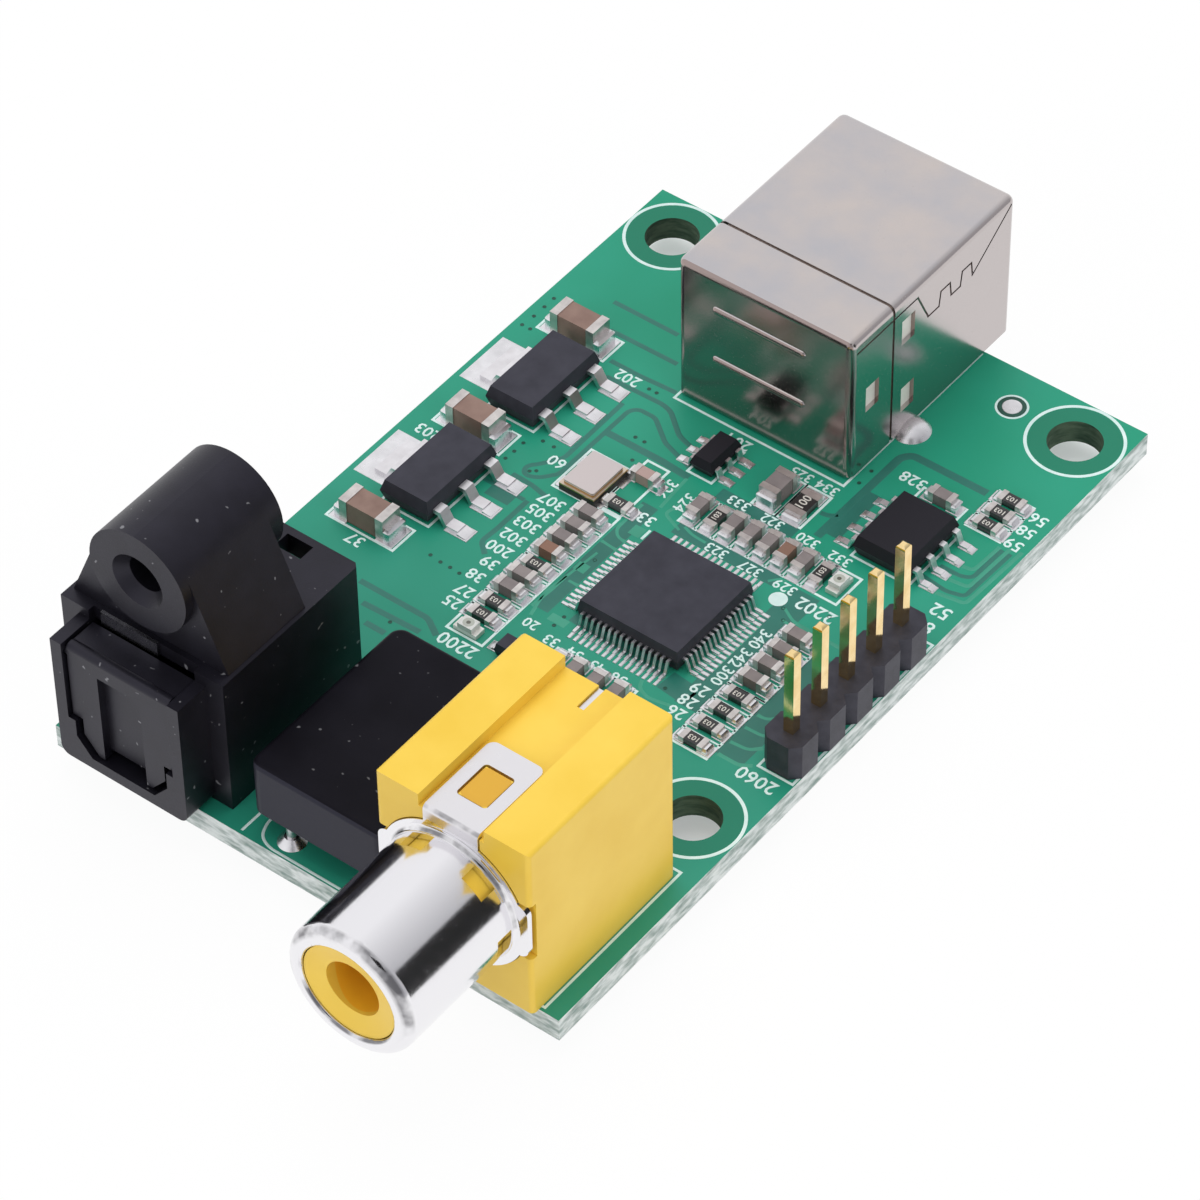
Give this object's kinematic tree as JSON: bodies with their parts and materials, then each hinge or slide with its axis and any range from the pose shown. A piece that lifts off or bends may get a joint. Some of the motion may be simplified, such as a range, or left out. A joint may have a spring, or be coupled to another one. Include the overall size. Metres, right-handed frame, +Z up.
{
  "type": "usb audio module",
  "caption": "Bare circuit board with a square data socket at one end, and an optical socket with a sprung shutter, a pulse transformer and a yellow coaxial jack at the other.",
  "frame": {"origin": "under the board, at the centre of the four screw holes", "axes": "+X to the right along the audio sockets, +Y from the audio sockets to the data socket, +Z up"},
  "size_m": [0.035, 0.0668, 0.0204],
  "materials": {
    "board": "green solder mask over pale fibre sheet, satin",
    "solder": "bright tin solder",
    "socket_shell": "satin nickel plate on folded steel sheet",
    "socket_plastic": "white moulded plastic",
    "contact_metal": "gold flash on copper alloy",
    "optical_plastic": "charcoal moulded plastic, fine grain",
    "spring_metal": "bright steel strip",
    "emitter_plastic": "dark clear moulded plastic",
    "lead_metal": "tinned copper alloy",
    "coax_plastic": "glossy yellow moulded plastic",
    "coax_metal": "bright nickel plate",
    "transformer_plastic": "dark grey moulded case",
    "header_plastic": "black moulded plastic",
    "header_metal": "gold flash on brass",
    "chip_plastic": "dark moulded epoxy",
    "oscillator_ceramic": "dark ceramic",
    "oscillator_metal": "satin nickel plate",
    "lamp_plastic": "white moulded base",
    "lamp_lens": "clear moulded lens",
    "ceramic_grey": "grey brown ceramic",
    "ceramic_tan": "tan ceramic",
    "resistor_black": "black glaze on white ceramic",
    "end_metal": "tin plate"
  },
  "bodies": {
    "module": {"bulk_capacitor_1": "ceramic_tan", "bulk_capacitor_1_ends": "end_metal", "bulk_capacitor_2": "ceramic_tan", "bulk_capacitor_2_ends": "end_metal", "bulk_capacitor_3": "ceramic_tan", "bulk_capacitor_3_ends": "end_metal", "circuit_board": "board", "coax_barrel": "coax_metal", "coax_body": "coax_plastic", "coax_contact": "coax_metal", "diode_body": "chip_plastic", "diode_leads": "lead_metal", "eight_lead_chip_body": "chip_plastic", "eight_lead_chip_leads": "lead_metal", "header_base": "header_plastic", "header_pin_1": "header_metal", "header_pin_2": "header_metal", "header_pin_3": "header_metal", "header_pin_4": "header_metal", "header_pin_5": "header_metal", "lamp_1_base": "lamp_plastic", "lamp_1_lens": "lamp_lens", "lamp_2_base": "lamp_plastic", "lamp_2_lens": "lamp_lens", "large_capacitor": "ceramic_grey", "large_capacitor_ends": "end_metal", "large_resistor": "resistor_black", "large_resistor_ends": "end_metal", "main_chip_body": "chip_plastic", "main_chip_leads": "lead_metal", "optical_emitter": "emitter_plastic", "optical_housing": "optical_plastic", "optical_leads": "lead_metal", "oscillator_base": "oscillator_ceramic", "oscillator_lid": "oscillator_metal", "regulator_a_body": "chip_plastic", "regulator_a_leads": "lead_metal", "regulator_b_body": "chip_plastic", "regulator_b_leads": "lead_metal", "shutter_spring": "spring_metal", "six_lead_chip_body": "chip_plastic", "six_lead_chip_leads": "lead_metal", "small_capacitor_ends": "end_metal", "small_capacitors": "ceramic_grey", "small_resistor_ends": "end_metal", "small_resistors": "resistor_black", "solder_joints": "solder", "transformer_case": "transformer_plastic", "transformer_pins": "lead_metal", "usb_contact_1": "contact_metal", "usb_contact_2": "contact_metal", "usb_contact_3": "contact_metal", "usb_contact_4": "contact_metal", "usb_insulator": "socket_plastic", "usb_rear_cover": "socket_shell", "usb_shell": "socket_shell"},
    "shutter": {"optical_shutter": "optical_plastic"}
  },
  "joints": [
    {"name": "shutter_hinge", "type": "hinge", "parent": "module", "child": "shutter", "pos_m": [-0.0114, -0.0344, 0.00983], "axis": [1, 0, 0], "range_deg": [0, 88], "stiffness_Nm_per_rad": 0.00005, "springref_deg": -20.05}
  ]
}
